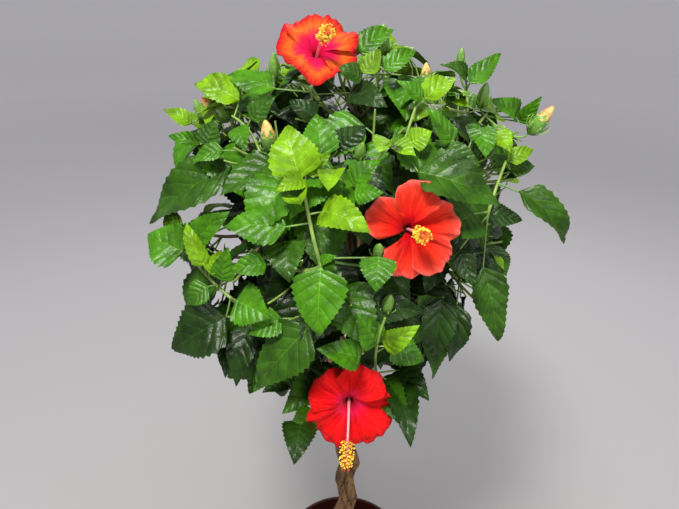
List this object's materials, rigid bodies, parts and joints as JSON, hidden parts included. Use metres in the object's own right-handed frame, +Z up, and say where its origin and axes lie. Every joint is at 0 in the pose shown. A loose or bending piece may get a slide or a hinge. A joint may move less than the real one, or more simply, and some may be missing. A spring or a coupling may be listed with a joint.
{
  "type": "potted hibiscus standard",
  "caption": "Hibiscus shrub grown as a standard: a braided stem with a rounded leafy head and open red blooms, rooted in a round tapered pot.",
  "frame": {"origin": "centre of the pot's flat underside", "axes": "+Z up along the stem, -Y towards the front of the plant where the blooms face, +X to the right seen from the front"},
  "size_m": [0.535, 0.6322, 1.255],
  "materials": {
    "pot": "satin dark maroon brown",
    "soil": "matt, crumbly",
    "bark": "matt grey brown bark",
    "foliage": "glossy green leaves with red blooms"
  },
  "bodies": {
    "root": {"pot": "pot", "soil": "soil", "stem_1": "bark", "stem_2": "bark", "stem_3": "bark", "bough_low_1": "bark", "bough_low_2": "bark", "bough_low_3": "bark", "bough_low_4": "bark", "bough_low_5": "bark", "bough_low_6": "bark", "bough_middle_1": "bark", "bough_middle_2": "bark", "bough_middle_3": "bark", "bough_middle_4": "bark", "bough_middle_5": "bark", "bough_middle_6": "bark", "bough_upper_1": "bark", "bough_upper_2": "bark", "bough_upper_3": "bark", "bough_upper_4": "bark", "bough_upper_5": "bark", "bough_top_1": "bark", "leaves_low_1": "foliage", "leaves_low_2": "foliage", "leaves_low_3": "foliage", "leaves_low_4": "foliage", "leaves_low_5": "foliage", "leaves_low_6": "foliage", "leaves_middle_1": "foliage", "leaves_middle_2": "foliage", "leaves_middle_3": "foliage", "leaves_middle_4": "foliage", "leaves_middle_5": "foliage", "leaves_middle_6": "foliage", "leaves_upper_1": "foliage", "leaves_upper_2": "foliage", "leaves_upper_3": "foliage", "leaves_upper_4": "foliage", "leaves_upper_5": "foliage", "leaves_top_1": "foliage"}
  },
  "joints": []
}
